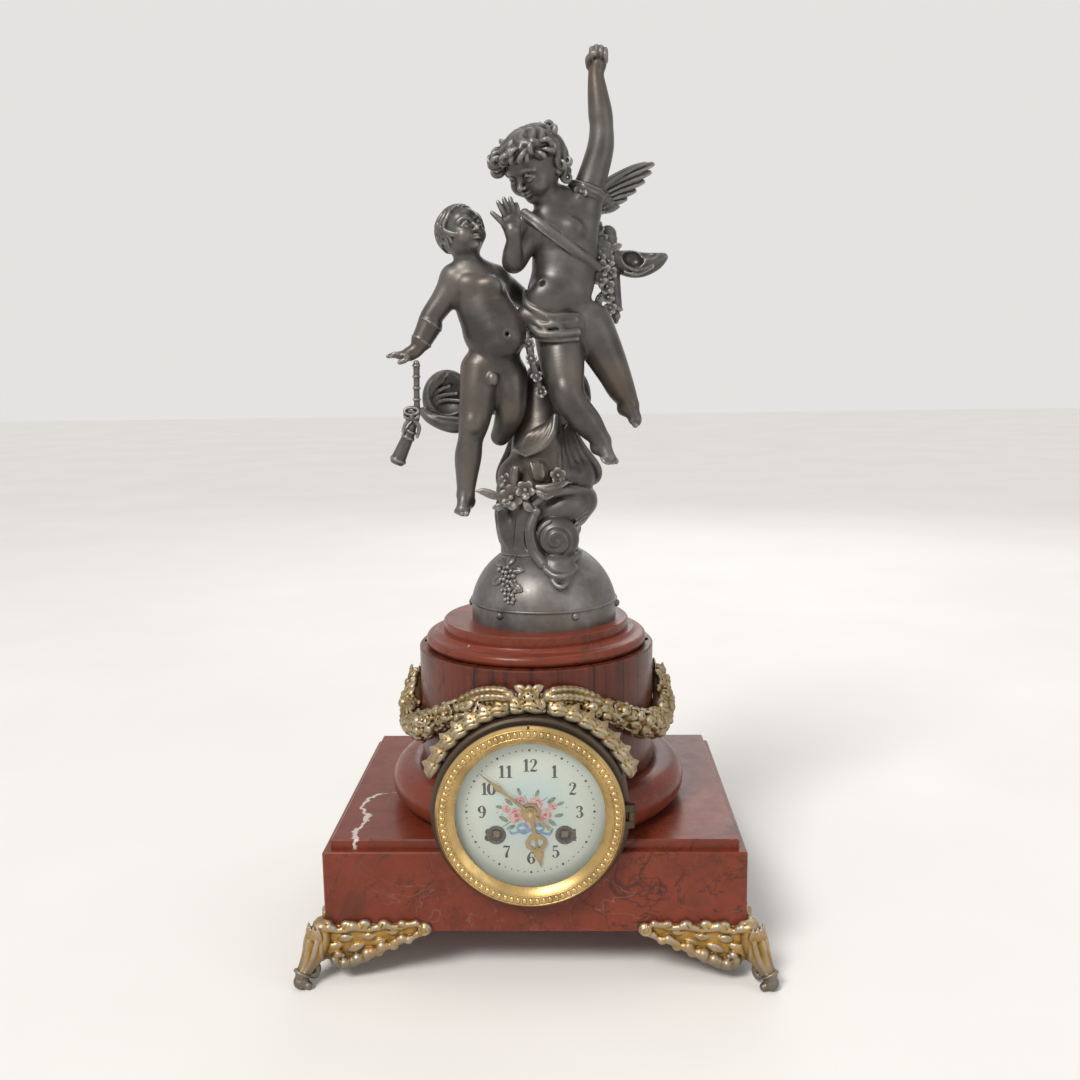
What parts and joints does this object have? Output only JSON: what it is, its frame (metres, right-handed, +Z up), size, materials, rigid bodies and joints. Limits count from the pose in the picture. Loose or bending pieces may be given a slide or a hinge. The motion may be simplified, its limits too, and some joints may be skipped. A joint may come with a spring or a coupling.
{
  "type": "figural mantel clock",
  "caption": "Stone mantel clock with a round glazed dial in a drum on a plinth, gilt corner feet and garland, and a dark metal group of winged children on top.",
  "frame": {"origin": "middle of the overall box, on the table", "axes": "+Z up, -Y towards the viewer of the dial, +X to the viewer's right"},
  "size_m": [0.3318, 0.2648, 0.6368],
  "materials": {
    "marble": "gloss",
    "spelter": "satin",
    "gilt": "satin",
    "bronze": "satin",
    "glass": "gloss",
    "enamel": "gloss",
    "brass": "satin",
    "bell_metal": "gloss",
    "tin_plate": "satin",
    "steel": "satin"
  },
  "bodies": {
    "case": {"back_plate": "brass", "bell": "bell_metal", "bell_stand": "brass", "bezel_frame": "bronze", "case_straps": "brass", "case_tube": "tin_plate", "cloud_support": "spelter", "cornice": "marble", "dial_face": "enamel", "dial_grommets": "bronze", "dial_plate": "brass", "dome": "spelter", "drum": "marble", "figure_left": "spelter", "figure_right": "spelter", "foot_back_left": "gilt", "foot_back_right": "gilt", "foot_front_left": "gilt", "foot_front_right": "gilt", "foot_screws": "steel", "front_plate": "brass", "garland_crest": "gilt", "garland_left": "gilt", "garland_right": "gilt", "pillars": "brass", "plinth_block": "marble", "plinth_slabs": "marble", "rear_ring": "bronze", "strap_screws": "steel", "suspension_cock": "brass", "tie_rods": "steel", "top_disc": "marble", "torch": "spelter", "torus_rings": "marble", "wings": "spelter"},
    "bezel": {"bezel_door": "gilt", "bezel_glass": "glass"},
    "back_door": {"rear_door": "bronze"},
    "minute": {"centre_arbor": "brass", "minute_hand": "gilt"},
    "hour": {"hour_wheel": "brass", "hour_hand": "gilt"},
    "motion_wheel": {"minute_wheel": "brass"},
    "going_drum": {"going_barrel": "brass", "going_mainspring": "steel"},
    "going_winder": {"going_arbor": "steel"},
    "going_pawl": {"going_click": "steel"},
    "going_second": {"intermediate_wheel": "brass"},
    "going_third": {"third_wheel": "brass"},
    "escape": {"escape_wheel": "brass"},
    "anchor": {"pallets": "steel"},
    "swing": {"pendulum": "brass"},
    "strike_drum": {"strike_barrel": "brass", "strike_mainspring": "steel"},
    "strike_winder": {"strike_arbor": "steel"},
    "strike_pawl": {"strike_click": "steel"},
    "strike_second": {"strike_second_wheel": "brass"},
    "strike_third": {"strike_third_wheel": "brass"},
    "fly": {"strike_fly": "brass"},
    "striker": {"hammer": "steel"}
  },
  "joints": [
    {"name": "bezel_hinge", "type": "hinge", "parent": "case", "child": "bezel", "pos_m": [0.0659, -0.1205, 0.1219], "axis": [0, 0, 1], "range_deg": [0, 110]},
    {"name": "rear_door_hinge", "type": "hinge", "parent": "case", "child": "back_door", "pos_m": [0.0629, 0.1158, 0.1219], "axis": [0, 0, -1], "range_deg": [0, 110]},
    {"name": "minute_hand_turn", "type": "hinge", "parent": "case", "child": "minute", "pos_m": [-0.0016, 0, 0.1219], "axis": [0, 1, 0], "continuous": true},
    {"name": "hour_hand_turn", "type": "hinge", "parent": "case", "child": "hour", "pos_m": [-0.0016, 0, 0.1219], "axis": [0, 1, 0], "continuous": true},
    {"name": "minute_wheel_turn", "type": "hinge", "parent": "case", "child": "motion_wheel", "pos_m": [-0.0016, 0, 0.1099], "axis": [0, 1, 0], "continuous": true},
    {"name": "going_barrel_turn", "type": "hinge", "parent": "case", "child": "going_drum", "pos_m": [0.0216, 0, 0.1056], "axis": [0, 1, 0], "continuous": true},
    {"name": "going_winding", "type": "hinge", "parent": "case", "child": "going_winder", "pos_m": [0.0216, 0, 0.1056], "axis": [0, 1, 0], "continuous": true},
    {"name": "going_click_lift", "type": "hinge", "parent": "case", "child": "going_pawl", "pos_m": [0.03325, 0, 0.10984], "axis": [0, 1, 0], "range_deg": [0, 12]},
    {"name": "intermediate_turn", "type": "hinge", "parent": "case", "child": "going_second", "pos_m": [0.01206, 0, 0.12498], "axis": [0, 1, 0], "continuous": true},
    {"name": "third_turn", "type": "hinge", "parent": "case", "child": "going_third", "pos_m": [-0.00557, 0, 0.13574], "axis": [0, 1, 0], "continuous": true},
    {"name": "escape_turn", "type": "hinge", "parent": "case", "child": "escape", "pos_m": [-0.0016, 0, 0.14733], "axis": [0, 1, 0], "continuous": true},
    {"name": "pallet_rock", "type": "hinge", "parent": "case", "child": "anchor", "pos_m": [-0.0016, 0, 0.15773], "axis": [0, 1, 0], "range_deg": [-4.5, 4.5]},
    {"name": "pendulum_swing", "type": "hinge", "parent": "case", "child": "swing", "pos_m": [-0.0016, 0, 0.1639], "axis": [0, 1, 0], "range_deg": [-3, 3]},
    {"name": "strike_barrel_turn", "type": "hinge", "parent": "case", "child": "strike_drum", "pos_m": [-0.0248, 0, 0.1056], "axis": [0, 1, 0], "continuous": true},
    {"name": "strike_winding", "type": "hinge", "parent": "case", "child": "strike_winder", "pos_m": [-0.0248, 0, 0.1056], "axis": [0, 1, 0], "continuous": true},
    {"name": "strike_click_lift", "type": "hinge", "parent": "case", "child": "strike_pawl", "pos_m": [-0.03645, 0, 0.10984], "axis": [0, -1, 0], "range_deg": [0, 12]},
    {"name": "strike_second_turn", "type": "hinge", "parent": "case", "child": "strike_second", "pos_m": [-0.01526, 0, 0.12498], "axis": [0, 1, 0], "continuous": true},
    {"name": "strike_third_turn", "type": "hinge", "parent": "case", "child": "strike_third", "pos_m": [-0.02387, 0, 0.13524], "axis": [0, 1, 0], "continuous": true},
    {"name": "fly_turn", "type": "hinge", "parent": "case", "child": "fly", "pos_m": [-0.01862, 0, 0.14434], "axis": [0, 1, 0], "continuous": true},
    {"name": "hammer_swing", "type": "hinge", "parent": "case", "child": "striker", "pos_m": [-0.0396, 0, 0.1369], "axis": [0, -1, 0], "range_deg": [0, 15]}
  ],
  "couplings": [
    {"joint": "hour_hand_turn", "follows": "minute_hand_turn", "ratio": 0.083333},
    {"joint": "minute_wheel_turn", "follows": "minute_hand_turn", "ratio": -0.33333},
    {"joint": "intermediate_turn", "follows": "minute_hand_turn", "ratio": -0.16667},
    {"joint": "going_barrel_turn", "follows": "minute_hand_turn", "ratio": 0.026882},
    {"joint": "third_turn", "follows": "minute_hand_turn", "ratio": -5},
    {"joint": "escape_turn", "follows": "minute_hand_turn", "ratio": 30},
    {"joint": "strike_barrel_turn", "follows": "strike_second_turn", "ratio": -0.16129},
    {"joint": "strike_third_turn", "follows": "strike_second_turn", "ratio": -4.5833},
    {"joint": "fly_turn", "follows": "strike_second_turn", "ratio": 22.917},
    {"joint": "pallet_rock", "follows": "pendulum_swing", "ratio": 1.3459}
  ]
}
